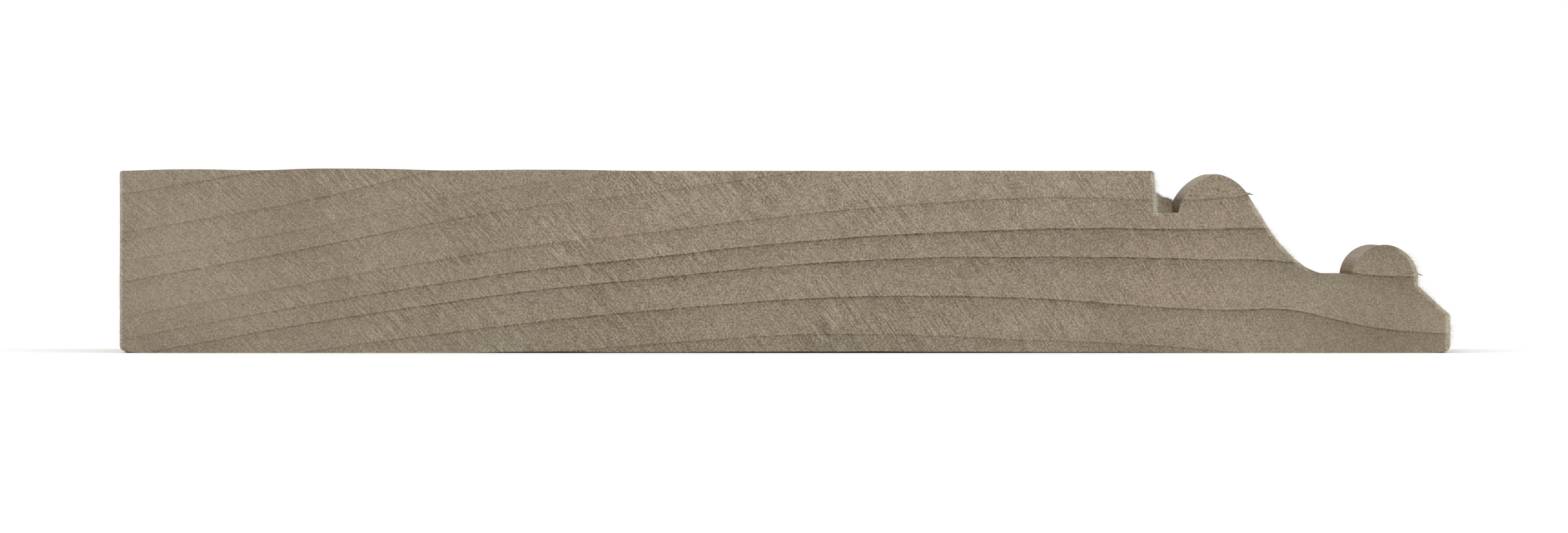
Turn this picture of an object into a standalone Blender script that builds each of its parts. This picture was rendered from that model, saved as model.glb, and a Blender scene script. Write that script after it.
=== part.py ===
# A metre of moulded timber skirting board, lying on its flat back.
# X runs up the wall, from the plain bottom edge to the moulded top edge. Y runs along the board.
# Z runs out of the wall, from the back to the face. The origin is at the middle of the back.
from math import asin, cos, pi, radians, sin, tan

import bpy
from mathutils import Vector

MM = 0.001

BOARD_WIDTH = 146 * MM
BOARD_THICKNESS = 20 * MM
BOARD_LENGTH = 1000 * MM
ARRIS = 0.3 * MM  # the planer leaves the long edges just broken
BACK_ARRIS = 0.5 * MM

FASCIA_WIDTH = 113.5 * MM  # the plain face between the bottom edge and the quirk
QUIRK_DEPTH = 4.6 * MM
QUIRK_WALL_LEAN = 0.3 * MM
QUIRK_WIDTH = 2.4 * MM

LARGE_BEAD_WIDTH = 8.3 * MM
LARGE_BEAD_RISE = 4.25 * MM  # above the floor of the quirk, so its crown stays under the fascia
LARGE_BEAD_FULLNESS = 1.75  # 2 would be an ellipse, less has flatter shoulders
LARGE_BEAD_QUIRK_FULLNESS = 1.6  # the same on the quirk's side

SLOPE_ANGLE = radians(59)  # the straight run below the large bead
HOLLOW_ANGLE = radians(41.5)  # where the slow curve of the hollow hands over to the tight one
SLOW_RADIUS = 17 * MM
TIGHT_RADIUS = 6.5 * MM
LEDGE_HEIGHT = 8.55 * MM  # the flat at the foot of the hollow, above the back

SMALL_BEAD_RADIUS = 3.56 * MM
SMALL_BEAD_SPRINGING = 8.2 * MM  # height of the bead's centre above the back
SMALL_BEAD_CENTRE = 138.87 * MM  # from the bottom edge
FILLET_DROP = 0.75 * MM  # the short upright between the small bead and the chamfer
CHAMFER_ANGLE = radians(43.5)
CHAMFER_NOSE = 0.8 * MM  # the round where the chamfer meets the top edge

STEP = radians(6)  # turn between two points of a round stretch
WOOD_COLOUR = (0.274, 0.228, 0.165, 1)


def arc(centre, radius, start, end):
    """Points from angle start to angle end, in either direction."""
    count = max(2, round(abs(end - start) / STEP))
    angles = [start + (end - start) * i / count for i in range(count + 1)]
    return [centre + radius * Vector((cos(a), sin(a))) for a in angles]


def rounded(before, corner, after, radius):
    """The corner between two straight runs, as an arc that is tangent to both."""
    back = (before - corner).normalized()
    ahead = (after - corner).normalized()
    half = back.angle(ahead) / 2
    centre = corner + (back + ahead).normalized() * radius / sin(half)
    touch = corner + back * radius / tan(half)
    leave = corner + ahead * radius / tan(half)
    start = (touch - centre).angle_signed(Vector((1, 0)))
    turn = (leave - centre).angle_signed(touch - centre)
    return arc(centre, radius, start, start + turn)


def large_bead(foot):
    """From the quirk's floor over the crown, to where the flank is as steep as the slope."""
    half_width = LARGE_BEAD_WIDTH / 2
    # The outline is (x/a)^n + (z/b)^n = 1, with a the half width, b the rise and n the fullness.
    # Its steepness is (b/a) (u/v)^(n-1), where u is x/a and v is z/b.
    across = tan(SLOPE_ANGLE) * half_width / LARGE_BEAD_RISE
    ratio = across ** (1 / (LARGE_BEAD_FULLNESS - 1))
    height = (1 + ratio**LARGE_BEAD_FULLNESS) ** (-1 / LARGE_BEAD_FULLNESS)
    last = asin(height ** (LARGE_BEAD_FULLNESS / 2))
    count = round((pi - last) / STEP)
    points = []
    for i in range(count + 1):
        angle = pi + (last - pi) * i / count
        side = 1 if cos(angle) > 0 else -1
        power = 2 / (LARGE_BEAD_FULLNESS if side > 0 else LARGE_BEAD_QUIRK_FULLNESS)
        x = half_width * (1 + side * abs(cos(angle)) ** power)
        z = LARGE_BEAD_RISE * abs(sin(angle)) ** power
        points.append(foot + Vector((x, z)))
    return points


def hollow(bead_end):
    """The straight slope below the large bead, then two tangent arcs down to the ledge."""
    tight_rise = TIGHT_RADIUS * (1 - cos(HOLLOW_ANGLE))
    slow_rise = SLOW_RADIUS * (cos(HOLLOW_ANGLE) - cos(SLOPE_ANGLE))
    slope_end_z = LEDGE_HEIGHT + tight_rise + slow_rise
    slope_end_x = bead_end.x + (bead_end.y - slope_end_z) / tan(SLOPE_ANGLE)
    slope_end = Vector((slope_end_x, slope_end_z))
    slow_centre = slope_end + SLOW_RADIUS * Vector((sin(SLOPE_ANGLE), cos(SLOPE_ANGLE)))
    slow = arc(slow_centre, SLOW_RADIUS, -pi / 2 - SLOPE_ANGLE, -pi / 2 - HOLLOW_ANGLE)
    tight_centre = slow[-1] + TIGHT_RADIUS * (slow_centre - slow[-1]).normalized()
    tight = arc(tight_centre, TIGHT_RADIUS, -pi / 2 - HOLLOW_ANGLE, -pi / 2)
    return slow + tight[1:]


def small_bead():
    """From the ledge over the crown, to the springing on the top edge's side."""
    centre = Vector((SMALL_BEAD_CENTRE, SMALL_BEAD_SPRINGING))
    start = pi - asin((LEDGE_HEIGHT - SMALL_BEAD_SPRINGING) / SMALL_BEAD_RADIUS)
    return arc(centre, SMALL_BEAD_RADIUS, start, 0)


def profile():
    """The section, round by the bottom edge, the face and the top edge, measured from the back's corner."""
    back_bottom = Vector((0, 0))
    face_bottom = Vector((0, BOARD_THICKNESS))
    fascia_end = Vector((FASCIA_WIDTH, BOARD_THICKNESS))
    quirk_floor = Vector((FASCIA_WIDTH + QUIRK_WALL_LEAN, BOARD_THICKNESS - QUIRK_DEPTH))
    bead_foot = quirk_floor + Vector((QUIRK_WIDTH, 0))
    small = small_bead()
    fillet_foot = small[-1] - Vector((0, FILLET_DROP))
    nose_z = fillet_foot.y - (BOARD_WIDTH - fillet_foot.x) * tan(CHAMFER_ANGLE)
    nose = Vector((BOARD_WIDTH, nose_z))
    back_top = Vector((BOARD_WIDTH, 0))

    points = rounded(back_top, back_bottom, face_bottom, BACK_ARRIS)
    points += rounded(back_bottom, face_bottom, fascia_end, ARRIS)
    points += rounded(face_bottom, fascia_end, quirk_floor, ARRIS)
    points.append(quirk_floor)
    bead = large_bead(bead_foot)
    points += bead + hollow(bead[-1])
    points += small
    points.append(fillet_foot)
    points += rounded(fillet_foot, nose, back_top, CHAMFER_NOSE)
    points += rounded(nose, back_top, back_bottom, BACK_ARRIS)
    return points


def wood():
    material = bpy.data.materials.new("tulipwood")
    material.use_nodes = True
    shader = material.node_tree.nodes["Principled BSDF"]
    shader.inputs["Base Color"].default_value = WOOD_COLOUR
    shader.inputs["Roughness"].default_value = 0.75
    shader.inputs["Metallic"].default_value = 0
    return material


def board(collection):
    """The section as a filled flat curve, extruded along the board and stood up across it."""
    outline = bpy.data.curves.new("skirting_board", "CURVE")
    outline.dimensions = "2D"
    outline.fill_mode = "BOTH"
    outline.extrude = BOARD_LENGTH / 2
    points = profile()
    spline = outline.splines.new("POLY")
    spline.points.add(len(points) - 1)
    for target, point in zip(spline.points, points):
        target.co = (point.x, point.y, 0, 1)
    spline.use_cyclic_u = True
    outline.materials.append(wood())
    piece = bpy.data.objects.new("skirting_board", outline)
    piece.location.x = -BOARD_WIDTH / 2
    piece.rotation_euler.x = pi / 2
    collection.objects.link(piece)


def main():
    for old in list(bpy.data.objects):
        bpy.data.objects.remove(old)
    collection = bpy.data.collections.new("skirting board")
    bpy.context.scene.collection.children.link(collection)
    board(collection)


main()
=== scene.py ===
from functools import partial
from math import asin, cos, pi, radians, sin, tan

import bpy
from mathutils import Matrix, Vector
from mathutils.geometry import delaunay_2d_cdt
from mathutils.kdtree import KDTree


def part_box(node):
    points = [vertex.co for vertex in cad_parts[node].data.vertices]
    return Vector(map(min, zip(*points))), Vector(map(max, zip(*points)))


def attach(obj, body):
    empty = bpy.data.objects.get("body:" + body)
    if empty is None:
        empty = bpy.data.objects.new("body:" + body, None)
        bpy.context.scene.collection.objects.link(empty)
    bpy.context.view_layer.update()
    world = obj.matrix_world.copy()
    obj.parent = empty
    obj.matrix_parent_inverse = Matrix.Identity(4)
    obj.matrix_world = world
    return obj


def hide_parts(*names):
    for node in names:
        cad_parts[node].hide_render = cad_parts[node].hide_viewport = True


mm = 0.001

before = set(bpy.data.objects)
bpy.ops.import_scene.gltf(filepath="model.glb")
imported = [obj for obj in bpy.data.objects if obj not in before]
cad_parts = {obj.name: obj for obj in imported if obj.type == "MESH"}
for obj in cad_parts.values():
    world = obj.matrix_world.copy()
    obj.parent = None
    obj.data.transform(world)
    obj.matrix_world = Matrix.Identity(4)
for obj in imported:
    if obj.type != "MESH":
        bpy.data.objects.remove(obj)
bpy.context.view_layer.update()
lowest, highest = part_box("skirting_board")
boardWidth = highest.x - lowest.x
boardLength = highest.y - lowest.y
boardThickness = highest.z - lowest.z
print("frame loaded: %.0f x %.0f x %.0f mm" % (boardWidth / mm, boardLength / mm, boardThickness / mm))


def toLinear(hexColour):
    channels = [int(hexColour[i:i + 2], 16) / 255 for i in (1, 3, 5)]
    linear = [c / 12.92 if c <= 0.04045 else ((c + 0.055) / 1.055) ** 2.4 for c in channels]
    return (*linear, 1)


def connect(node, inputs):
    # inputs: a list in the sockets' order, or a dictionary by their names or numbers. Each is a value,
    # a socket, a node whose first output is meant, or a list of those for a socket that takes several.
    for name, given in inputs.items() if isinstance(inputs, dict) else enumerate(inputs):
        for value in given if isinstance(given, list) else [given]:
            if isinstance(value, bpy.types.Node):
                value = value.outputs[0]
            if isinstance(value, bpy.types.NodeSocket):
                node.id_data.links.new(value, node.inputs[name])
            else:
                node.inputs[name].default_value = value


def addNode(tree, kind, inputs=(), curve=(), handle="AUTO_CLAMPED", **settings):
    # a kind without Node in it is a ShaderNode
    node = tree.nodes.new(kind if "Node" in kind else "ShaderNode" + kind)
    for name, value in settings.items():
        setattr(node, name, value)
    if curve:
        setCurve(node, curve, handle)
    connect(node, inputs)
    return node


def setCurve(node, points, handle):
    # a curve through points given in their own units
    mapping = node.mapping
    curve = mapping.curves[0]
    heights = [height for at, height in points]
    mapping.use_clip = False
    mapping.clip_min_x, mapping.clip_max_x = points[0][0], points[-1][0]
    mapping.clip_min_y, mapping.clip_max_y = min(heights) - 1, max(heights) + 1
    curve.points[0].location = points[0]
    curve.points[-1].location = points[-1]
    for point in points[1:-1]:
        curve.points.new(*point)
    for point in curve.points:
        point.handle_type = handle
    mapping.update()


def addUnevenness(add, depth, inputs, **settings):
    # noise that swings round nothing, half the depth to either side
    # (a noise's list is its place, its seed, its scale and its detail)
    noise = add("TexNoise", inputs, **settings)
    noise = add("Math", [noise, 0.5], operation="SUBTRACT")
    return add("Math", [noise, depth], operation="MULTIPLY")


def perSize(width, length):
    # the scale that makes a pattern's grains as wide, and as long along the board, as this
    return (1 / width, 1 / length, 1 / width)


def showObject(name, data):
    made = bpy.data.objects.new(name, data)
    bpy.context.scene.collection.objects.link(made)
    return made


# the camera looks along the board at the sawn end, a little above its upper face
studio = {
    "frameWidth": 172.1 * mm,  # what the picture's width takes in, at the sawn end
    "distance": 1500 * mm,
    "eyeHeight": 18.5 * mm,  # lines along the board run towards this height
    "aim": (-0.1 * mm, 9.5 * mm),  # across the board and up, at the middle of the picture
    "depthShown": 36 * mm,  # how far behind the sawn end the first view reaches
    "sensor": 36,
    "sky": "#ffffff",
    "skyStrength": 1.0,
    "floor": "#ffffff",
    "floorSize": 30,
    "keyStrength": 0.8,
    "keySpread": radians(60),  # a wide soft light from far away, even over the whole floor
    "keyFrom": (-0.8, -0.3, 0.5),
}


def makeCamera():
    camera = showObject("camera", bpy.data.cameras.new("camera"))
    eye = Vector((0, lowest.y - studio["distance"], studio["eyeHeight"]))
    across, up = studio["aim"]
    camera.location = eye
    camera.rotation_euler = (Vector((across, lowest.y, up)) - eye).to_track_quat("-Z", "Y").to_euler()
    camera.data.sensor_width = studio["sensor"]
    camera.data.lens = studio["sensor"] * studio["distance"] / studio["frameWidth"]
    # The photographed sample is short, and what lies past its far end is the white backdrop.
    # This board is a metre long, so the first view stops where that sample stops. Other views see it all.
    camera.data.clip_end = studio["distance"] + studio["depthShown"]
    bpy.context.scene.camera = camera
    bpy.context.scene.view_settings.view_transform = "Standard"
    print("camera: %.0f mm lens" % camera.data.lens)


makeCamera()

# the moulding's section, the same as the solid's, measured from the back's bottom corner
moulding = {
    "arris": 0.3 * mm,
    "backArris": 0.5 * mm,
    "fasciaWidth": 113.5 * mm,
    "quirkDepth": 4.6 * mm,
    "quirkWallLean": 0.3 * mm,
    "quirkWidth": 2.4 * mm,
    "largeBeadWidth": 8.3 * mm,
    "largeBeadRise": 4.25 * mm,
    "largeBeadFullness": 1.75,  # 2 would be an ellipse, less has flatter shoulders
    "quirkFullness": 1.6,  # the same on the quirk's side
    "slopeAngle": radians(59),
    "hollowAngle": radians(41.5),  # where the slow curve of the hollow hands over to the tight one
    "slowRadius": 17 * mm,
    "tightRadius": 6.5 * mm,
    "ledgeHeight": 8.55 * mm,
    "smallBeadRadius": 3.56 * mm,
    "smallBeadSpringing": 8.2 * mm,
    "smallBeadCentre": 138.87 * mm,
    "filletDrop": 0.75 * mm,
    "chamferAngle": radians(43.5),
    "chamferNose": 0.8 * mm,
    "turn": radians(4),  # between two points of a round stretch
    "spacing": 0.55 * mm,  # between two points of a straight stretch
}


def arc(centre, radius, start, end):
    count = max(2, round(abs(end - start) / moulding["turn"]))
    angles = [start + (end - start) * i / count for i in range(count + 1)]
    return [centre + radius * Vector((cos(a), sin(a))) for a in angles]


def rounded(before, corner, after, radius):
    back = (before - corner).normalized()
    ahead = (after - corner).normalized()
    half = back.angle(ahead) / 2
    centre = corner + (back + ahead).normalized() * radius / sin(half)
    touch = corner + back * radius / tan(half)
    leave = corner + ahead * radius / tan(half)
    start = (touch - centre).angle_signed(Vector((1, 0)))
    return arc(centre, radius, start, start + (leave - centre).angle_signed(touch - centre))


def largeBead(foot):
    # (x/a)^n + (z/b)^n = 1 over the crown, until the flank is as steep as the slope
    halfWidth = moulding["largeBeadWidth"] / 2
    rise = moulding["largeBeadRise"]
    fullness = moulding["largeBeadFullness"]
    ratio = (tan(moulding["slopeAngle"]) * halfWidth / rise) ** (1 / (fullness - 1))
    height = (1 + ratio**fullness) ** (-1 / fullness)
    last = asin(height ** (fullness / 2))
    count = round((pi - last) / moulding["turn"])
    points = []
    for i in range(count + 1):
        angle = pi + (last - pi) * i / count
        side = 1 if cos(angle) > 0 else -1
        power = 2 / (fullness if side > 0 else moulding["quirkFullness"])
        across = halfWidth * (1 + side * abs(cos(angle)) ** power)
        points.append(foot + Vector((across, rise * abs(sin(angle)) ** power)))
    return points


def hollow(beadEnd):
    slope, turnOver = moulding["slopeAngle"], moulding["hollowAngle"]
    slow, tight = moulding["slowRadius"], moulding["tightRadius"]
    endZ = moulding["ledgeHeight"] + tight * (1 - cos(turnOver)) + slow * (cos(turnOver) - cos(slope))
    slopeEnd = Vector((beadEnd.x + (beadEnd.y - endZ) / tan(slope), endZ))
    slowCentre = slopeEnd + slow * Vector((sin(slope), cos(slope)))
    slowArc = arc(slowCentre, slow, -pi / 2 - slope, -pi / 2 - turnOver)
    tightCentre = slowArc[-1] + tight * (slowCentre - slowArc[-1]).normalized()
    return slowArc + arc(tightCentre, tight, -pi / 2 - turnOver, -pi / 2)[1:]


def smallBead():
    radius, springing = moulding["smallBeadRadius"], moulding["smallBeadSpringing"]
    start = pi - asin((moulding["ledgeHeight"] - springing) / radius)
    return arc(Vector((moulding["smallBeadCentre"], springing)), radius, start, 0)


def sectionCorners():
    arris, backArris = moulding["arris"], moulding["backArris"]
    backBottom = Vector((0, 0))
    faceBottom = Vector((0, boardThickness))
    fasciaEnd = Vector((moulding["fasciaWidth"], boardThickness))
    quirkFloor = fasciaEnd + Vector((moulding["quirkWallLean"], -moulding["quirkDepth"]))
    bead = largeBead(quirkFloor + Vector((moulding["quirkWidth"], 0)))
    small = smallBead()
    filletFoot = small[-1] - Vector((0, moulding["filletDrop"]))
    nose = Vector((boardWidth, filletFoot.y - (boardWidth - filletFoot.x) * tan(moulding["chamferAngle"])))
    backTop = Vector((boardWidth, 0))
    points = rounded(backTop, backBottom, faceBottom, backArris)
    points += rounded(backBottom, faceBottom, fasciaEnd, arris)
    points += rounded(faceBottom, fasciaEnd, quirkFloor, arris)
    points += [quirkFloor] + bead + hollow(bead[-1]) + small + [filletFoot]
    points += rounded(filletFoot, nose, backTop, moulding["chamferNose"])
    points += rounded(nose, backTop, backBottom, backArris)
    return points


def outlinePoints():
    # straight stretches get points too, so that the sawn arris can be uneven
    corners = sectionCorners()
    points = []
    for here, there in zip(corners, corners[1:] + corners[:1]):
        pieces = max(1, round((there - here).length / moulding["spacing"]))
        points += [here.lerp(there, i / pieces) for i in range(pieces)]
    return [point - Vector((boardWidth / 2, 0)) for point in points]


outline = outlinePoints()
print("section: %d points" % len(outline))

# the sawn ends
sawnEnd = {
    "grid": 0.5 * mm,  # spacing of the mesh on the end
    "clearance": 0.25 * mm,  # from the grid to the outline
    "tolerance": 0.01 * mm,  # points this close are one, and this close to the end are on it
    "arrisAngle": radians(60),  # faces that meet at more than this make an arris
    "arrisDepth": 0.3 * mm,  # how near the end that arris is
    "crease": radians(28),  # faces that meet at more than this are shaded apart
    # the saw's marks lie on circles round this point, measured from the back's bottom corner
    "bladeCentre": (-150 * mm, -165 * mm),
    "bladeReach": 280 * mm,  # from there to the middle of the end
    "ridgeLength": 40 * mm,
    "tearFade": 6.0,  # how much faster than the waves the tears die away from the end
    # where the arris is torn: by the way its face looks, from the bottom edge (-1) to the top edge (1)
    "torn": ((-1, 0.6), (-0.9, 0.28), (-0.7, 0.006), (0.4, 0.006), (0.64, 0.8), (0.8, 1.0), (1, 1.0)),
    # and by the millimetres from the bottom edge, as the beads' sides that look at it were cut clean
    "tornAcross": ((0, 1.0), (114.2, 1.0), (114.4, 0.0), (124.0, 0.0), (124.7, 1.0), (134.6, 1.0),
                   (134.9, 0.1), (136.6, 0.1), (137.0, 1.0), (146, 1.0)),
    # millimetres from the bottom edge -> how far the face stands proud, and the back is lifted, at the end
    "proud": ((0, 0.0), (8, 0.19), (15, 0.08), (22, 0.25), (30, 0.2), (36, 0.05), (46, 0.14), (60, 0.0),
              (134, 0.0), (138.6, 0.17), (142, 0.0), (146, 0.0)),
    "lifted": ((0, 0.3), (1.2, 0.1), (3, 0.0), (36, 0.0), (44, 0.13), (60, 0.09), (80, 0.17), (100, 0.1),
               (122, 0.03), (128, 0.0), (143, 0.0), (145, 0.08), (146, 0.25)),
    "inputs": {
        "Stations": 60,  # rows of points along the board, close together at its ends
        "Reach": 7 * mm,  # how far from the end the unevenness dies away
        "Wave length": 11 * mm,
        "Wave depth": 0.16 * mm,
        "Tear length": 0.9 * mm,
        "Tear depth": 0.12 * mm,
        "Ridge pitch": 1.7 * mm,
        "Ridge depth": 0.05 * mm,
        "Seed": 4,
    },
}


def makeEndFace():
    # the section, filled with triangles of one size; the outline's points come first, in order
    spacing = sawnEnd["grid"]
    inner = []
    rows = int(boardThickness / spacing)
    for row in range(1, rows):
        up = boardThickness * row / rows
        crossings = []
        for here, there in zip(outline, outline[1:] + outline[:1]):
            if (here.y > up) != (there.y > up):
                crossings.append(here.x + (there.x - here.x) * (up - here.y) / (there.y - here.y))
        crossings.sort()
        for start, end in zip(crossings[::2], crossings[1::2]):
            first = start + spacing * (0.75 if row % 2 else 0.5)  # rows are staggered
            count = int((end - first) / spacing + 0.5)
            inner += [Vector((first + spacing * i, up)) for i in range(count)]
    near = KDTree(len(outline))
    for i, point in enumerate(outline):
        near.insert((*point, 0), i)
    near.balance()
    inner = [point for point in inner if near.find((*point, 0))[2] > sawnEnd["clearance"]]
    rim = [(i, (i + 1) % len(outline)) for i in range(len(outline))]
    made = delaunay_2d_cdt(outline + inner, rim, [], 1, 1e-7)  # 1 keeps what lies inside the rim
    source = [found[0] for found in made[3]]
    mesh = bpy.data.meshes.new("end_face")
    flat = [(point.x, 0, point.y) for point in outline + inner]
    mesh.from_pydata(flat, [], [[source[i] for i in face] for face in made[2]])
    return mesh


def nodesPiece(name, mesh, buildTree, values):
    # runs a Geometry Nodes tree, with an input for each value, on the mesh and keeps what it makes as a mesh
    kinds = {int: "Int", float: "Float", tuple: "Vector", bpy.types.Material: "Material"}
    tree = bpy.data.node_groups.new(name, "GeometryNodeTree")
    tree.interface.new_socket("Geometry", in_out="INPUT", socket_type="NodeSocketGeometry")
    tree.interface.new_socket("Geometry", in_out="OUTPUT", socket_type="NodeSocketGeometry")
    identifiers = {}
    for label, value in values.items():
        kind = "NodeSocket" + kinds[type(value)]
        identifiers[label] = tree.interface.new_socket(label, in_out="INPUT", socket_type=kind).identifier
    buildTree(tree)
    host = showObject(name + "_host", mesh)
    modifier = host.modifiers.new(name, "NODES")
    modifier.node_group = tree
    for label, value in values.items():
        modifier[identifiers[label]] = value
    evaluated = host.evaluated_get(bpy.context.evaluated_depsgraph_get())
    result = bpy.data.meshes.new_from_object(evaluated)
    host.modifiers.clear()
    bpy.data.objects.remove(host)
    return showObject(name, result)


def addPlace(add, length, width):
    # a point's place and its three parts, half the board's length, how far the point is from the nearer end,
    # and its millimetres from the bottom edge
    position = add("GeometryNodeInputPosition")
    parts = add("SeparateXYZ", [position]).outputs
    half = add("Math", [length, 0.5], operation="MULTIPLY")
    distance = add("Math", [parts["Y"]], operation="ABSOLUTE")
    fromEnd = add("Math", [half, distance], operation="SUBTRACT")
    fromBottom = add("Math", [width, 0.5, parts["X"]], operation="MULTIPLY_ADD")
    fromBottom = add("Math", [fromBottom, 1 / mm], operation="MULTIPLY")
    return position, parts, half, fromEnd, fromBottom


def addArris(add, fromEnd):
    # whether an edge is sharp, and whether it is at the end: both are true on the sawn arris
    angle = add("GeometryNodeInputMeshEdgeAngle")
    sharp = add("Math", [angle, sawnEnd["arrisAngle"]], operation="GREATER_THAN")
    return sharp, add("Math", [fromEnd, sawnEnd["arrisDepth"]], operation="LESS_THAN")


def addTorn(add, normal, fromBottom):
    # the way a face looks, square to the board's length, and how much its arris is torn
    outward = add("VectorMath", [normal, (1, 0, 1)], operation="MULTIPLY")
    outward = add("VectorMath", [outward], operation="NORMALIZE")
    facing = add("SeparateXYZ", [outward])
    torn = add("FloatCurve", {"Value": facing}, curve=sawnEnd["torn"], handle="VECTOR")
    tornAcross = add("FloatCurve", {"Value": fromBottom}, curve=sawnEnd["tornAcross"], handle="VECTOR")
    return outward, add("Math", [torn, tornAcross], operation="MULTIPLY")


def boardTree(tree):
    add = partial(addNode, tree)
    given = add("NodeGroupInput").outputs
    position, parts, half, fromEnd, fromBottom = addPlace(add, given["Length"], given["Width"])

    # the long faces: a grid whose columns are the outline's points and whose rows are the stations
    columns = add("Math", [given["Outline points"], 1])
    grid = add("GeometryNodeMeshGrid", {"Vertices X": columns, "Vertices Y": given["Stations"]})
    index = add("GeometryNodeInputIndex")
    column = add("Math", [index, given["Stations"]], operation="DIVIDE")
    column = add("Math", [column], operation="FLOOR")
    point = add("Math", [column, given["Outline points"]], operation="MODULO")
    station = add("Math", [index, given["Stations"]], operation="MODULO")
    last = add("Math", [given["Stations"], 1], operation="SUBTRACT")
    share = add("Math", [station, last], operation="DIVIDE")
    angle = add("Math", [share, pi, -pi / 2], operation="MULTIPLY_ADD")
    along = add("Math", [angle], operation="SINE")
    along = add("Math", [along, half], operation="MULTIPLY")
    along = add("CombineXYZ", {"Y": along})
    onOutline = add("GeometryNodeSampleIndex", {"Geometry": given["Geometry"], "Value": position,
                                                "Index": point}, data_type="FLOAT_VECTOR")
    place = add("VectorMath", [onOutline, along])
    sides = add("GeometryNodeSetPosition", {"Geometry": grid, "Position": place})

    # the two ends, and all three made one
    farPlace = add("CombineXYZ", {"Y": half})
    nearPlace = add("VectorMath", {0: farPlace, "Scale": -1}, operation="SCALE")
    far = add("GeometryNodeTransform", {"Geometry": given["Geometry"], "Translation": farPlace})
    near = add("GeometryNodeTransform", {"Geometry": given["Geometry"], "Translation": nearPlace})
    far = add("GeometryNodeFlipFaces", {"Mesh": far})
    joined = add("GeometryNodeJoinGeometry", {"Geometry": [sides, near, far]})
    whole = add("GeometryNodeMergeByDistance", {"Geometry": joined, "Distance": sawnEnd["tolerance"]})

    # how near the end a point is: 1 on the end, 0 past the reach
    # (a MapRange's list is the value, the range it comes from and the range it goes to)
    nearness = add("MapRange", [fromEnd, given["Reach"], 0.0, 0.0, 1.0], interpolation_type="SMOOTHSTEP")

    # the sawn arris wanders a little, and is torn where the blade left the wood
    outward, torn = addTorn(add, add("GeometryNodeInputNormal"), fromBottom)
    scale = add("Math", [1.0, given["Wave length"]], operation="DIVIDE")
    wave = addUnevenness(add, given["Wave depth"], [position, given["Seed"], scale, 1.0],
                         noise_dimensions="4D")
    scale = add("Math", [1.0, given["Tear length"]], operation="DIVIDE")
    tear = addUnevenness(add, given["Tear depth"], [position, given["Seed"], scale, 2.0],
                         noise_dimensions="4D")
    close = add("Math", [nearness, sawnEnd["tearFade"]], operation="POWER")
    tear = add("Math", [tear, torn], operation="MULTIPLY")
    tear = add("Math", [tear, close], operation="MULTIPLY")
    shift = add("Math", [wave, nearness, tear], operation="MULTIPLY_ADD")
    shift = add("VectorMath", {0: outward, "Scale": shift}, operation="SCALE")

    # the blade's ridges on the end, on circles round its centre
    spoke = add("VectorMath", [position, given["Blade centre"]], operation="SUBTRACT")
    spoke = add("VectorMath", [spoke, (1, 0, 1)], operation="MULTIPLY")
    radius = add("VectorMath", [spoke], operation="LENGTH").outputs["Value"]
    across = add("Math", [radius, given["Ridge pitch"]], operation="DIVIDE")
    slow = add("Math", [parts["Z"], 1 / sawnEnd["ridgeLength"]], operation="MULTIPLY")
    ridgePlace = add("CombineXYZ", [across, slow, parts["Y"]])
    ridge = addUnevenness(add, given["Ridge depth"], [ridgePlace, given["Seed"], 1.0, 2.0],
                          noise_dimensions="4D")
    onEnd = add("Math", [fromEnd, sawnEnd["tolerance"]], operation="LESS_THAN")
    ridge = add("Math", [ridge, onEnd], operation="MULTIPLY")

    # the board is a little swollen at the end, over and under
    proud = add("FloatCurve", {"Value": fromBottom}, curve=sawnEnd["proud"])
    lifted = add("FloatCurve", {"Value": fromBottom}, curve=sawnEnd["lifted"])
    height = add("Math", [parts["Z"], given["Thickness"]], operation="DIVIDE")
    swell = add("MapRange", [height, 0.0, 1.0, lifted, proud])
    swell = add("Math", [swell, nearness], operation="MULTIPLY")
    swell = add("Math", [swell, mm], operation="MULTIPLY")
    swollen = add("CombineXYZ", {"Y": ridge, "Z": swell})
    offset = add("VectorMath", [shift, swollen])
    uneven = add("GeometryNodeSetPosition", {"Geometry": whole, "Offset": offset})

    # the torn arris, where the wood gets a painted highlight: 1 on the arris, 0 at the next points
    sharp, atEnd = addArris(add, fromEnd)
    onSharp = add("GeometryNodeFieldOnDomain", [sharp], domain="EDGE")
    onSharp = add("Math", [onSharp, 0.0], operation="GREATER_THAN")
    rim = add("Math", [onSharp, atEnd], operation="MULTIPLY")
    rim = add("Math", [rim, torn], operation="MULTIPLY")
    marked = add("GeometryNodeStoreNamedAttribute", {"Geometry": uneven, "Name": "tornArris", "Value": rim})
    real = add("GeometryNodeRealizeInstances", {"Geometry": marked})
    covered = add("GeometryNodeSetMaterial", {"Geometry": real, "Material": given["Wood"]})
    add("NodeGroupOutput", [covered])


def makeBoard(wood):
    bladeX, bladeZ = sawnEnd["bladeCentre"]
    board = nodesPiece("board", makeEndFace(), boardTree, {
        **sawnEnd["inputs"], "Length": boardLength, "Width": boardWidth, "Thickness": boardThickness,
        "Outline points": len(outline), "Blade centre": (bladeX - boardWidth / 2, 0.0, bladeZ), "Wood": wood,
    })
    board.data.shade_smooth()
    board.data.set_sharp_from_angle(angle=sawnEnd["crease"])
    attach(board, "root")
    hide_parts("skirting_board")
    return board


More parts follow.
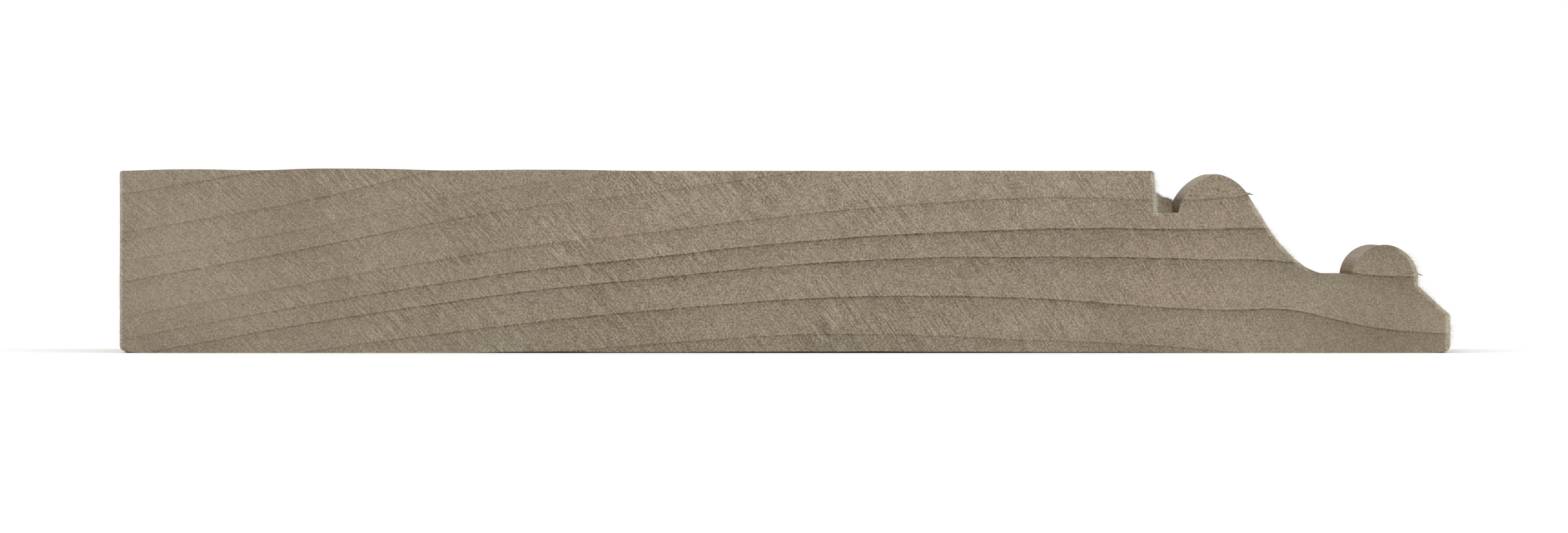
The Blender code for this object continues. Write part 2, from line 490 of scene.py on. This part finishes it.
# fuzz of fibres torn out along the sawn arris, most of it where the blade left the wood
fibres = {
    "inputs": {
        "Spacing": 0.0037 * mm,
        "Length": 1.0 * mm,  # of the longest; most are far shorter
        "Thickness": 0.016 * mm,
        "Spread": 0.9,
        "Inwards": 0.4 * mm,  # how far in from the arris the fuzz begins
        "Lean": 0.6,  # outwards from the end
        "Hair share": 0.03,  # the share of longer, bent hairs
        "Hair thickness": 0.03 * mm,
        "Hair bend": 0.8,
        "Far share": 0.15,  # how much of the fuzz the far end has
        "Cluster length": 1.6 * mm,
        "Seed": 11,
    },
    "shortest": 0.1,  # of the longest
    "shortening": 2.0,  # more makes more of them short
    "hairTaper": 0.8,
    "nearFloor": (0.1 * mm, 1.2 * mm),  # from no length to all of it, so that none goes through the floor
    "clusters": (0.35, 0.6, 0.65, 1.0),  # a range of the noise, and the share of fibres there
    "tuft": 0.5 * mm,
    "tufts": (0.35, 0.65),  # the noise from dark to pale
    # the fibres' near-white colours are painted light, standing for the light that passes through them
    "pale": "#fbf6ea",
    "dark": "#e6decd",
}
# sawdust and fibres are packed into the quirk, at the photographed end; the lump stands partly for the deep
# shade there, and its colours hold painted light and shade
packed = {
    "inputs": {
        "Packed height": 1.4 * mm,
        "Packed inset": 0.15 * mm,  # from the end
        "Packed reach": 4 * mm,  # along the quirk
        "Packed density": 250e6,  # fibres for each square metre
        "Packed length": 0.5 * mm,
    },
    "across": (113.4 * mm, 115.5 * mm),
    "profile": ((0, 1.75), (0.25, 1.5), (0.5, 1.2), (0.75, 1.02), (1, 1.0)),  # its height across the quirk
    "fall": (0.3, 1.0, 1.0, 0.1),  # from 0.3 of the reach to all of it, the height falls from 1 to 0.1
    "lumps": (0.3, 0.7, 0.8, 1.15),  # a range of the noise, and the height there
    "lumpCount": 3.0,  # along and across
    "mesh": (14, 16, 8),  # points across, along and up
    "pale": "#b2a996",  # beside the face: partly fibres mixed in, partly painted light
    "dark": "#918370",  # beside the bead: painted shade, where the quirk is shadowed
    "crumb": 0.25 * mm,
    "crumbDepth": 0.5,
}


def addFibres(add, seeds, points, shape, thickness, length, direction, keep):
    # one fibre on each point that is kept, a few long and most of them short
    turned = add("FunctionNodeAlignRotationToVector", {"Vector": direction}, axis="Z")
    twist = add("FunctionNodeRandomValue", {2: 0.0, 3: 2 * pi, "Seed": seeds[0]})
    twist = add("FunctionNodeAxisAngleToRotation", {"Axis": (0, 0, 1), "Angle": twist.outputs[1]})
    turned = add("FunctionNodeRotateRotation", [turned, twist], rotation_space="LOCAL")
    size = add("FunctionNodeRandomValue", {"Seed": seeds[1]}).outputs[1]
    size = add("Math", [size, fibres["shortening"]], operation="POWER")
    size = add("MapRange", [size, 0.0, 1.0, fibres["shortest"], 1.0])
    size = add("Math", [size, length], operation="MULTIPLY")
    size = add("CombineXYZ", [thickness, thickness, size])
    return add("GeometryNodeInstanceOnPoints",
               {"Points": points, "Selection": keep, "Instance": shape, "Rotation": turned, "Scale": size})


def addFinished(add, parts, material):
    # the parts joined, made real and given their material
    joined = add("GeometryNodeJoinGeometry", {"Geometry": parts})
    real = add("GeometryNodeRealizeInstances", {"Geometry": joined})
    return add("GeometryNodeSetMaterial", {"Geometry": real, "Material": material})


def addLump(add, given, position, half):
    # a lump of dust in the quirk, highest against the face
    countX, countY, countZ = packed["mesh"]
    lump = add("GeometryNodeMeshCube", {"Size": (1, 1, 1), "Vertices X": countX, "Vertices Y": countY,
                                        "Vertices Z": countZ})
    share = add("VectorMath", [position, (0.5, 0.5, 0.5)])
    shares = add("SeparateXYZ", [share]).outputs
    across = add("MapRange", [shares["X"], 0.0, 1.0, given["Packed from"], given["Packed to"]])
    slope = add("Math", [shares["Z"], given["Packed height"], given["Packed inset"]],
                operation="MULTIPLY_ADD")
    along = add("Math", [shares["Y"], given["Packed reach"], slope], operation="MULTIPLY_ADD")
    along = add("Math", [along, half], operation="SUBTRACT")
    heap = add("FloatCurve", {"Value": shares["X"]}, curve=packed["profile"])
    fall = add("MapRange", [shares["Y"], *packed["fall"]])
    lumps = add("TexNoise", [position, given["Seed"], packed["lumpCount"], 3.0], noise_dimensions="4D")
    lumps = add("MapRange", [lumps, *packed["lumps"]])
    for factor in (fall, lumps, given["Packed height"]):
        heap = add("Math", [heap, factor], operation="MULTIPLY")
    up = add("Math", [shares["Z"], heap, given["Quirk floor"]], operation="MULTIPLY_ADD")
    place = add("CombineXYZ", [across, along, up])
    return add("GeometryNodeSetPosition", {"Geometry": lump, "Position": place})


def fibreTree(tree):
    add = partial(addNode, tree)
    given = add("NodeGroupInput").outputs
    position, parts, half, fromEnd, fromBottom = addPlace(add, given["Board length"], given["Width"])
    seeds = [add("Math", [given["Seed"], i]) for i in range(6)]
    spread = add("CombineXYZ", [given["Spread"]] * 3)
    away = add("VectorMath", {0: spread, "Scale": -1.0}, operation="SCALE")
    scatter = add("FunctionNodeRandomValue", {0: away, 1: spread, "Seed": seeds[2]}, data_type="FLOAT_VECTOR")

    # a straight fibre, and a bent hair that gets thinner
    spike = add("GeometryNodeMeshCone",
                {"Vertices": 3, "Radius Top": 0.0, "Radius Bottom": 0.5, "Depth": 1.0})
    bend = add("CombineXYZ", {"X": given["Hair bend"], "Z": 1.0})
    line = add("GeometryNodeCurveQuadraticBezier",
               {"Resolution": 3, "Start": (0, 0, -0.1), "Middle": (0, 0, 0.5), "End": bend})
    hairSection = add("GeometryNodeCurvePrimitiveCircle", {"Resolution": 3, "Radius": 0.5})
    alongHair = add("GeometryNodeSplineParameter")
    taper = add("Math", [-fibres["hairTaper"], alongHair, 1.0], operation="MULTIPLY_ADD")
    hair = add("GeometryNodeCurveToMesh",
               {"Curve": line, "Profile Curve": hairSection, "Scale": taper, "Fill Caps": True})

    # points along the arris, each with the normal of the board there
    kept = add("GeometryNodeCaptureAttribute", {"Geometry": given["Geometry"]})
    kept.capture_items.new("VECTOR", "Normal")
    connect(kept, {"Normal": add("GeometryNodeInputNormal")})
    sharp, atEnd = addArris(add, fromEnd)
    arris = add("Math", [sharp, atEnd], operation="MULTIPLY")
    line = add("GeometryNodeMeshToCurve", {"Mesh": kept, "Selection": arris})
    points = add("GeometryNodeCurveToPoints", {"Curve": line, "Length": given["Spacing"]}, mode="LENGTH")
    outward, torn = addTorn(add, kept.outputs["Normal"], fromBottom)
    ahead = add("Math", [parts["Y"]], operation="SIGN")
    lean = add("Math", [ahead, given["Lean"]], operation="MULTIPLY")
    lean = add("CombineXYZ", {"Y": lean})
    direction = add("VectorMath", [outward, lean])
    direction = add("VectorMath", [direction, scatter])

    # how many there are, and how long
    scale = add("Math", [1.0, given["Cluster length"]], operation="DIVIDE")
    cluster = add("TexNoise", [position, given["Seed"], scale, 1.0], noise_dimensions="4D")
    cluster = add("MapRange", [cluster, *fibres["clusters"]])
    amount = add("Math", [torn, cluster], operation="MULTIPLY")
    share = add("MapRange", [ahead, -1.0, 1.0, 1.0, given["Far share"]])
    chance = add("Math", [amount, share], operation="MULTIPLY")
    length = add("MapRange", [parts["Z"], *fibres["nearFloor"], 0.0, given["Length"]])
    length = add("Math", [length, amount], operation="MULTIPLY")
    inwards = add("Math", [given["Inwards"], -1.0], operation="MULTIPLY")
    inwards = add("FunctionNodeRandomValue", {2: inwards, 3: 0.0, "Seed": seeds[3]})
    inwards = add("VectorMath", {0: outward, "Scale": inwards.outputs[1]}, operation="SCALE")
    begin = add("GeometryNodeSetPosition", {"Geometry": points, "Offset": inwards})
    draw = add("FunctionNodeRandomValue", {"Seed": seeds[4]}).outputs[1]
    keep = add("Math", [draw, chance], operation="LESS_THAN")
    fuzz = addFibres(add, seeds, begin, spike, given["Thickness"], length, direction, keep)
    chance = add("Math", [chance, given["Hair share"]], operation="MULTIPLY")
    keep = add("Math", [draw, chance], operation="LESS_THAN")
    hairs = addFibres(add, seeds[::-1], points, hair, given["Hair thickness"], length, direction, keep)
    loose = addFinished(add, [fuzz, hairs], given["Wood"])

    # the lump of dust has fibres of its own
    lump = addFinished(add, [addLump(add, given, position, half)], given["Dust"])
    spots = add("GeometryNodeDistributePointsOnFaces",
                {"Mesh": lump, "Density": given["Packed density"], "Seed": given["Seed"]})
    upwards = add("VectorMath", [spots.outputs["Normal"], scatter])
    inLump = addFibres(add, seeds, spots, spike, given["Thickness"], given["Packed length"], upwards, True)
    inLump = addFinished(add, [inLump], given["Dust"])
    whole = add("GeometryNodeJoinGeometry", {"Geometry": [loose, inLump, lump]})
    add("NodeGroupOutput", [whole])


def makeFibres(board, wood, dust):
    packedFrom, packedTo = packed["across"]
    torn = nodesPiece("torn_fibres", board.data.copy(), fibreTree, {
        **fibres["inputs"], **packed["inputs"], "Board length": boardLength, "Width": boardWidth,
        "Packed from": packedFrom - boardWidth / 2, "Packed to": packedTo - boardWidth / 2,
        "Quirk floor": boardThickness - moulding["quirkDepth"], "Wood": wood, "Dust": dust,
    })
    torn.data.shade_smooth()
    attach(torn, "root")
    return torn


# two splinters stand out past the outline of the photographed end
splinters = {
    # root and tip in millimetres, across from the bottom edge and up from the back;
    # at its root, a splinter is this thick upwards and this deep along the board
    "each": (
        {"root": (123.2, 17.55), "tip": (124.45, 17.4), "thick": 0.4, "deep": 0.7, "sag": 0.02},
        {"root": (141.3, 8.9), "tip": (143.15, 8.45), "thick": 0.36, "deep": 0.5, "sag": 0.08},
    ),
    "steps": 6,
    "taper": 0.8,
}


def makeSplinters(wood):
    corners = ((-0.5, 0), (0.5, 0), (0.5, 1), (-0.5, 1))  # across the thickness, along the board
    steps = splinters["steps"]
    points, faces = [], []
    for splinter in splinters["each"]:
        root, tip = Vector(splinter["root"]), Vector(splinter["tip"])
        first = len(points)
        for i in range(steps):
            share = i / steps
            at = root.lerp(tip, share) + Vector((0, splinter["sag"] * sin(pi * share)))
            size = (1 - share) ** splinters["taper"]
            for thick, deep in corners:
                up = at.y + thick * splinter["thick"] * size
                along = lowest.y / mm + deep * splinter["deep"] * size
                points.append(Vector((at.x - boardWidth / 2 / mm, along, up)) * mm)
        points.append(Vector((tip.x - boardWidth / 2 / mm, lowest.y / mm, tip.y)) * mm)
        for i in range(steps - 1):
            for j in range(4):
                a, b = first + 4 * i + j, first + 4 * i + (j + 1) % 4
                faces.append((a, a + 4, b + 4, b))
        last = first + 4 * (steps - 1)
        faces += [(last + j, len(points) - 1, last + (j + 1) % 4) for j in range(4)]
        faces.append(tuple(range(first, first + 4)))
    mesh = bpy.data.meshes.new("splinters")
    mesh.from_pydata(points, [], faces)
    mesh.materials.append(wood)
    mesh.shade_smooth()
    piece = showObject("splinters", mesh)
    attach(piece, "root")
    return piece


# the wood: growth rings run through the solid, so the ends and the faces cut the same ones; in millimetres
rings = {
    # from the bottom edge -> how far the rings are lifted there, and how wide they are
    "lift": ((0, -7.4), (20, -3.6), (40, -1.3), (60, 0.6), (80, 1.5), (100, 0.75), (120, -0.6),
             (129, -1.6), (134, -3.0), (138, -4.05), (146, -5.2)),
    "spread": ((0, 0.66), (20, 0.65), (40, 0.72), (60, 0.75), (80, 0.83), (100, 0.95), (120, 1.04),
               (146, 1.31)),
    # above the back, where each year's growth ends: in most of the board, and under the large bead
    "years": ((-14, -14), (-9, -9), (-4, -4), (0.75, 0.9), (5.65, 5.1), (10.4, 10.55), (13.5, 13.75),
              (17.2, 16.9), (23.1, 23.1), (26.5, 26.5), (31.3, 31.3), (37.8, 37.8), (43, 43), (49, 49)),
    "underBead": ((0, 0), (95, 0), (116, 1), (121, 0.9), (129, 0), (146, 0)),
    # how dark each year's last growth is, towards the bottom edge and towards the top edge
    "strength": ((0.8, 0.8), (0.8, 0.8), (0.35, 0.5), (0.55, 0.85), (1.0, 1.0), (0.65, 1.0), (0.5, 0.5),
                 (0.95, 0.35), (0.35, 0.2), (0.65, 0.4), (0.8, 0.4), (0.6, 0.6), (0.6, 0.6)),
    "strengthChanges": (20, 48),  # from the one to the other, from the bottom edge
    # from the bottom edge -> how strong the lines, and the bands under them, are there
    "lines": ((0, 0.45), (12, 0.65), (30, 0.85), (60, 1.0), (90, 1.1), (125, 1.05), (138, 0.9), (146, 0.5)),
    "bands": ((0, 0.4), (30, 0.6), (60, 0.95), (90, 1.05), (120, 0.95), (146, 1.1)),
    "wobble": 0.22,
    "wobbleLength": 9,
    "drift": 9,  # how far the rings rise and fall along the board
    "driftSize": (166.7, 380),  # how wide and long a rise is
    "driftGrows": 260,  # to its full size, this far from the photographed end
    "lineDepth": 0.12,  # of the tone's range
    "lineWidths": (0.1, 0.3),  # all of a line's dark ends at the first, and the last of it at the second
    "paleDepth": 0.02,  # a pale hair line lies on top of each dark one
    "paleWidth": 0.22,
    "bandDepth": 0.135,
    "bandWidth": 1.25,
    "poreSpacing": 0.42,
    "pores": (0.35, 0.6, 0.35, 1.35),  # a range of the noise, and how dark a line is there
}
# and the grain, also in millimetres
grain = {
    "endFaces": (0.45, 0.75),  # how far a face looks along the board, when it is planed and when it is sawn
    "tone": 0.569,  # the end's own, on the scale of tones below
    "tornArrisPaintedHighlight": 0.4,  # painted highlight at the torn arris, for the light that loose fibres catch there
    "speckle": (0.2, 28),  # width and length of a grain, drawn twice its real width so that it shows
    "speckleDepth": 0.6,
    "faceSpeckle": 0.45,  # how much of that the planed faces have
    "vessel": (0.16, 7),  # tulipwood's are about 0.07 wide, drawn wider so that they show
    "vessels": (0.58, 0.7),  # the noise from none to a vessel
    "vesselDepth": 0.12,
    "streak": (4.5, 420),
    "streakDepth": 0.14,
    "blotch": 13,
    "blotchDepth": 0.15,
    "drawnOut": (1, 14),  # how many times longer blotches and hues are along the grain
    # from the bottom edge -> how much paler the end is there
    "paler": ((0, -0.015), (30, -0.01), (60, 0.0), (100, 0.005), (115, 0.015), (130, 0.0), (146, 0.0)),
    "hatchWidth": 0.17,
    "hatchLength": 3.6,
    "hatchDepth": 0.55,
    "hatchPatch": 8,
    "hatchPatches": (0.4, 0.62, 0.35, 1.2),  # a range of the noise, and the hatching's strength there
    "hatchAlong": 20,  # the hatching changes over this, so the two ends differ
    # from the bottom edge -> how much of the hatching shows
    "hatching": ((0, 0.8), (30, 0.9), (60, 0.9), (85, 0.78), (105, 0.68), (118, 0.5), (128, 0.3), (146, 0.2)),
    "mottle": 0.7,
    "mottleDepth": 0.14,
    # small dark pits: across from the bottom edge, up from the back, radius
    "pits": ((120.55, 17.95, 0.26), (120.0, 18.05, 0.16), (120.85, 16.5, 0.22), (117.5, 17.3, 0.2),
             (113.45, 17.55, 0.24)),
    "pitFloor": 0.4,  # of its radius
    "pitDepth": 0.16,
    # from the bottom edge -> how rough the sawn end is there
    "roughness": ((0, 0.8), (30, 1.0), (60, 1.3), (100, 1.25), (120, 1.15), (135, 0.9), (146, 0.8)),
    "hue": 16,
    "hues": (0.4, 0.6),  # the noise from warm to green
    "warm": "#fffdfa",
    "green": "#fcfffd",
    # from the bottom edge -> how much further towards green
    "greener": ((0, 0.03), (30, 0.05), (70, 0.05), (90, 0.01), (105, -0.02), (116, -0.06), (130, -0.02),
                (146, 0.0)),
    # from the bottom edge -> how much paler the planed faces are; beside the small bead they are paler still,
    # as painted light lifting the shade at the bead's root
    "planedPalerAndPaintedLight": ((0, -0.04), (133.2, -0.04), (135, 0.06), (136.2, 0.06), (138, -0.04), (146, -0.04)),
    "planedTint": "#fff7e6",
    "knifePitch": 2.2,
    "knifeDepth": 0.03,
    "dull": (0.55, 0.9),  # the shader's roughness where it is planed, and where it is sawn
    "shine": 0.25,
    "bump": 0.35,
    "bumpHeight": 0.08,
}
# one scale of tones for everything, dark to pale
tones = ((0.0, "#2e2418"), (0.25, "#5a4e3c"), (0.5, "#827565"), (0.75, "#a89d8a"), (1.0, "#cdc4b3"))


def newMaterial(name):
    # a material, the function that adds a node to it, and its shader
    material = bpy.data.materials.new(name)
    material.use_nodes = True
    tree = material.node_tree
    return material, partial(addNode, tree), tree.nodes["Principled BSDF"]


def addYearTone(add, place, across, along, up):
    # how dark the growth rings make the wood at a point, as a share of the tone's range
    lift = add("FloatCurve", {"Value": across}, curve=rings["lift"], handle="AUTO")
    spread = add("FloatCurve", {"Value": across}, curve=rings["spread"], handle="AUTO")
    wobble = addUnevenness(add, 2 * rings["wobble"], {"Vector": place, "Scale": 1 / rings["wobbleLength"],
                                                      "Detail": 4.0, "Roughness": 0.6})
    # the rings keep the photographed end's pattern there, and drift away from it along the board
    slowPlace = add("Mapping", {"Vector": place, "Scale": perSize(*rings["driftSize"])})
    start = lowest.y / mm
    away = add("MapRange", [along, start, start + rings["driftGrows"], 0.0, 2 * rings["drift"]],
               interpolation_type="SMOOTHSTEP")
    drift = addUnevenness(add, away, {"Vector": slowPlace, "Scale": 1.0, "Detail": 1.0})
    height = add("Math", [up, lift], operation="SUBTRACT")
    height = add("Math", [height, spread], operation="DIVIDE")
    height = add("Math", [height, wobble])
    height = add("Math", [height, drift])

    # each year has a number, and its season runs from 0 to 1
    ends, endsUnderBead = zip(*rings["years"])
    years = []
    for heights in (ends, endsUnderBead):
        steps = [(end, i) for i, end in enumerate(heights)]
        years.append(add("FloatCurve", {"Value": height}, curve=steps, handle="VECTOR"))
    underBead = add("FloatCurve", {"Value": across}, curve=rings["underBead"])
    year = add("MapRange", [underBead, 0.0, 1.0, *years])
    number = add("Math", [year], operation="FLOOR")
    season = add("Math", [year], operation="FRACT")
    widths = [(i, there - here) for i, (here, there) in enumerate(zip(ends, ends[1:]))]
    width = add("FloatCurve", {"Value": number}, curve=widths, handle="VECTOR")
    strengths = [add("FloatCurve", {"Value": number}, curve=list(enumerate(side)), handle="VECTOR")
                 for side in zip(*rings["strength"])]
    strength = add("MapRange", [across, *rings["strengthChanges"], *strengths])
    lines = add("FloatCurve", {"Value": across}, curve=rings["lines"])
    bands = add("FloatCurve", {"Value": across}, curve=rings["bands"])

    # the soft band, by how far below the line where the year's growth ended
    below = add("Math", [1.0, season], operation="SUBTRACT")
    below = add("Math", [below, width], operation="MULTIPLY")
    band = add("Math", [below, -1 / rings["bandWidth"]], operation="MULTIPLY")
    band = add("Math", [band], operation="EXPONENT")
    band = add("Math", [band, rings["bandDepth"]], operation="MULTIPLY")

    # the dark line with its pores, and the pale one on top of it
    below = add("Math", [below, spread], operation="MULTIPLY")
    line = add("MapRange", [below, *rings["lineWidths"], rings["lineDepth"], 0.0],
               interpolation_type="SMOOTHSTEP")
    pores = add("TexNoise", {"Vector": place, "Scale": 1 / rings["poreSpacing"], "Detail": 1.0})
    pores = add("MapRange", [pores, *rings["pores"]])
    line = add("Math", [line, pores], operation="MULTIPLY")
    above = add("Math", [season, width], operation="MULTIPLY")
    above = add("Math", [above, spread], operation="MULTIPLY")
    pale = add("MapRange", [above, 0.0, rings["paleWidth"], rings["paleDepth"], 0.0],
               interpolation_type="SMOOTHSTEP")
    line = add("Math", [line, pale], operation="SUBTRACT")
    line = add("Math", [line, lines], operation="MULTIPLY")
    dark = add("Math", [band, bands, line], operation="MULTIPLY_ADD")
    return add("Math", [dark, strength], operation="MULTIPLY")


def addHatching(add, across, along, up):
    # fine scratches that the saw left on the ends, on circles round its centre, thicker in some patches
    bladeAcross, bladeUp = [distance / mm for distance in sawnEnd["bladeCentre"]]
    reach = sawnEnd["bladeReach"] / mm
    fromAcross = add("Math", [across, bladeAcross], operation="SUBTRACT")
    fromUp = add("Math", [up, bladeUp], operation="SUBTRACT")
    turned = add("Math", [fromUp, fromAcross], operation="ARCTAN2")
    spoke = add("CombineXYZ", [fromAcross, fromUp])
    radius = add("VectorMath", [spoke], operation="LENGTH").outputs["Value"]
    onCircle = add("Math", [turned, reach / grain["hatchLength"]], operation="MULTIPLY")
    outwards = add("Math", [radius, 1 / grain["hatchWidth"]], operation="MULTIPLY")
    end = add("Math", [along, 1 / grain["hatchAlong"]], operation="MULTIPLY")
    patchPlace = add("CombineXYZ", [across, up, end])
    patch = add("TexNoise", {"Vector": patchPlace, "Scale": 1 / grain["hatchPatch"]})
    patch = add("MapRange", [patch, *grain["hatchPatches"]])
    scratchPlace = add("CombineXYZ", [outwards, onCircle, end])
    return addUnevenness(add, patch, {"Vector": scratchPlace, "Scale": 1.0, "Roughness": 0.6})


def makeWood():
    # Tulipwood, sawn across and left as sawn at the ends, moulded and planed along the faces.
    # Gives the eye: grey-brown end grain with a green cast, thin dark year lines with a soft dark band
    # under each, fine speckle, and pale hatching from the saw; straight, quiet grain along the faces.
    wood, add, shader = newMaterial("sawn_and_planed_tulipwood")
    coordinates = add("TexCoord")
    # millimetres, across and up from the back's bottom corner and along from the board's middle
    place = add("Mapping", {"Vector": coordinates.outputs["Object"], "Location": (boardWidth / 2 / mm, 0, 0),
                            "Scale": (1 / mm, 1 / mm, 1 / mm)})
    across, along, up = add("SeparateXYZ", [place]).outputs
    facing = add("SeparateXYZ", [coordinates.outputs["Normal"]]).outputs
    onEnd = add("Math", [facing["Y"]], operation="ABSOLUTE")
    onEnd = add("MapRange", [onEnd, *grain["endFaces"], 0.0, 1.0])
    years = addYearTone(add, place, across, along, up)

    # one grain field, long along the board: specks where it is sawn across, streaks on the faces
    grains = add("Mapping", {"Vector": place, "Scale": perSize(*grain["speckle"])})
    speckle = addUnevenness(add, grain["speckleDepth"], {"Vector": grains, "Scale": 1.0})

    # the sawn ends
    scratch = add("Math", [addHatching(add, across, along, up), grain["hatchDepth"]], operation="MULTIPLY")
    hatching = add("FloatCurve", {"Value": across}, curve=grain["hatching"])
    sawn = add("Math", [scratch, hatching, speckle], operation="MULTIPLY_ADD")
    mottle = addUnevenness(add, grain["mottleDepth"], {"Vector": place, "Scale": 1 / grain["mottle"],
                                                       "Detail": 1.0, "Distortion": 0.6})
    sawn = add("Math", [sawn, mottle])
    roughness = add("FloatCurve", {"Value": across}, curve=grain["roughness"])
    sawn = add("Math", [sawn, roughness], operation="MULTIPLY")
    onSection = add("CombineXYZ", [across, 0.0, up])
    for pitAcross, pitUp, radius in grain["pits"]:
        pit = add("VectorMath", [onSection, (pitAcross, 0, pitUp)], operation="DISTANCE").outputs["Value"]
        pit = add("MapRange", [pit, grain["pitFloor"] * radius, radius, grain["pitDepth"], 0.0],
                  interpolation_type="SMOOTHSTEP")
        sawn = add("Math", [sawn, pit], operation="SUBTRACT")

    # the planed faces
    streakPlace = add("Mapping", {"Vector": place, "Scale": perSize(*grain["streak"])})
    streak = addUnevenness(add, grain["streakDepth"], {"Vector": streakPlace, "Scale": 1.0, "Detail": 3.0})
    planed = add("Math", [speckle, grain["faceSpeckle"], streak], operation="MULTIPLY_ADD")
    vesselPlace = add("Mapping", {"Vector": place, "Scale": perSize(*grain["vessel"])})
    vessel = add("TexNoise", {"Vector": vesselPlace, "Scale": 1.0, "Detail": 0.0})
    vessel = add("MapRange", [vessel, *grain["vessels"], 0.0, grain["vesselDepth"]])
    planed = add("Math", [planed, vessel], operation="SUBTRACT")
    # includes painted light beside the small bead's root, where shade falls
    planedPalerAndPaintedLight = add("FloatCurve", {"Value": across}, curve=grain["planedPalerAndPaintedLight"], handle="VECTOR")
    planed = add("Math", [planed, planedPalerAndPaintedLight])

    # all of it makes one tone
    texture = add("MapRange", [onEnd, 0.0, 1.0, planed, sawn])
    drawnOut = add("Mapping", {"Vector": place, "Scale": perSize(*grain["drawnOut"])})
    blotch = addUnevenness(add, grain["blotchDepth"], {"Vector": drawnOut, "Scale": 1 / grain["blotch"],
                                                       "Detail": 3.0})
    paler = add("FloatCurve", {"Value": across}, curve=grain["paler"])
    torn = add("Attribute", attribute_name="tornArris").outputs["Fac"]
    tone = add("Math", [grain["tone"], years], operation="SUBTRACT")
    # a painted highlight along the torn arris
    tone = add("Math", [torn, grain["tornArrisPaintedHighlight"], tone], operation="MULTIPLY_ADD")
    for part in (texture, blotch, paler):
        tone = add("Math", [tone, part])
    colour = add("ValToRGB", [tone])
    ramp = colour.color_ramp
    for at, shade in tones[1:-1]:
        ramp.elements.new(at)
    for element, (at, shade) in zip(ramp.elements, tones):
        element.color = toLinear(shade)

    # warmer in places, greener in others, and yellower where it is planed
    hue = add("TexNoise", {"Vector": drawnOut, "Scale": 1 / grain["hue"]})
    greener = add("FloatCurve", {"Value": across}, curve=grain["greener"])
    hue = add("Math", [hue, greener])
    hue = add("MapRange", [hue, *grain["hues"], 0.0, 1.0])
    tint = add("Mix", {0: hue, 6: toLinear(grain["warm"]), 7: toLinear(grain["green"])}, data_type="RGBA")
    tint = add("Mix", {0: onEnd, 6: toLinear(grain["planedTint"]), 7: tint.outputs[2]}, data_type="RGBA")
    tinted = add("Mix", {0: 1.0, 6: colour, 7: tint.outputs[2]}, data_type="RGBA", blend_type="MULTIPLY")

    # the planer's knives leave faint waves across the faces
    knife = add("Math", [along, 2 * pi / grain["knifePitch"]], operation="MULTIPLY")
    knife = add("Math", [knife], operation="SINE")
    knife = add("Math", [knife, grain["knifeDepth"]], operation="MULTIPLY")
    relief = add("MapRange", [onEnd, 0.0, 1.0, knife, 0.0])
    relief = add("Math", [relief, tone])
    bump = add("Bump", {"Strength": grain["bump"], "Distance": grain["bumpHeight"] * mm, "Height": relief})
    dull = add("MapRange", [onEnd, 0.0, 1.0, *grain["dull"]])
    connect(shader, {"Base Color": tinted.outputs[2], "Roughness": dull, "Normal": bump,
                     "Specular IOR Level": grain["shine"]})
    return wood


def makeLooseWoodPaintedLight():
    # Tulipwood fibres, torn out by the saw.
    # Gives the eye: a dry, dull fuzz, paler than the board; the near-white colour is painted light, standing
    # for the light that passes through the fibres.
    loose, add, shader = newMaterial("torn_tulipwood_fibres_painted_light")
    place = add("TexCoord").outputs["Object"]
    tuft = add("TexNoise", {"Vector": place, "Scale": 1 / fibres["tuft"], "Detail": 1.0})
    tuft = add("MapRange", [tuft, *fibres["tufts"], 0.0, 1.0])
    mixed = add("Mix", {0: tuft, 6: toLinear(fibres["dark"]), 7: toLinear(fibres["pale"])}, data_type="RGBA")
    connect(shader, {"Base Color": mixed.outputs[2], "Roughness": 0.95, "Specular IOR Level": 0.2})
    return loose


def makeDustWithPaintedShade():
    # Tulipwood sawdust, packed by the saw.
    # Gives the eye: a matt crumb, dark beside the bead as painted shade, and paler beside the face, partly
    # where fibres are mixed in and partly as painted light.
    dust, add, shader = newMaterial("tulipwood_sawdust_painted_shade")
    place = add("TexCoord").outputs["Object"]
    across = add("SeparateXYZ", [place])
    # from painted light beside the face to painted shade beside the bead
    beside = add("MapRange", [across, *[edge - boardWidth / 2 for edge in packed["across"]], 0.0, 1.0])
    crumb = addUnevenness(add, packed["crumbDepth"], {"Vector": place, "Scale": 1 / packed["crumb"]})
    share = add("Math", [beside, crumb], use_clamp=True)
    mixed = add("Mix", {0: share, 6: toLinear(packed["pale"]), 7: toLinear(packed["dark"])}, data_type="RGBA")
    connect(shader, {"Base Color": mixed.outputs[2], "Roughness": 1.0, "Specular IOR Level": 0.1})
    return dust


def makeFloor():
    # A seamless sheet of matt white board, reaching far past the picture.
    # Gives the eye: a plain white ground, only faintly shaded beside the skirting.
    half = studio["floorSize"] / 2
    corners = [(-half, -half, 0), (half, -half, 0), (half, half, 0), (-half, half, 0)]
    mesh = bpy.data.meshes.new("floor")
    mesh.from_pydata(corners, [], [(0, 1, 2, 3)])
    material, _, shader = newMaterial("matt_white_board")
    connect(shader, {"Base Color": toLinear(studio["floor"]), "Roughness": 1.0, "Specular IOR Level": 0.0})
    mesh.materials.append(material)
    showObject("floor", mesh)


def makeLight():
    world = bpy.data.worlds.new("studio")
    bpy.context.scene.world = world
    world.use_nodes = True
    connect(world.node_tree.nodes["Background"],
            {"Color": toLinear(studio["sky"]), "Strength": studio["skyStrength"]})
    light = bpy.data.lights.new("key", "SUN")
    light.energy = studio["keyStrength"]
    light.angle = studio["keySpread"]
    key = showObject("key", light)
    key.location = studio["keyFrom"]
    key.rotation_euler = (-key.location).to_track_quat("-Z", "Y").to_euler()


def triangles(piece):
    return sum(len(face.vertices) - 2 for face in piece.data.polygons)


wood = makeWood()
board = makeBoard(wood)
print("board: %d triangles" % triangles(board))
torn = makeFibres(board, makeLooseWoodPaintedLight(), makeDustWithPaintedShade())
print("torn fibres: %d triangles" % triangles(torn))
print("splinters: %d triangles" % triangles(makeSplinters(wood)))
makeFloor()
makeLight()
print("floor and light done")
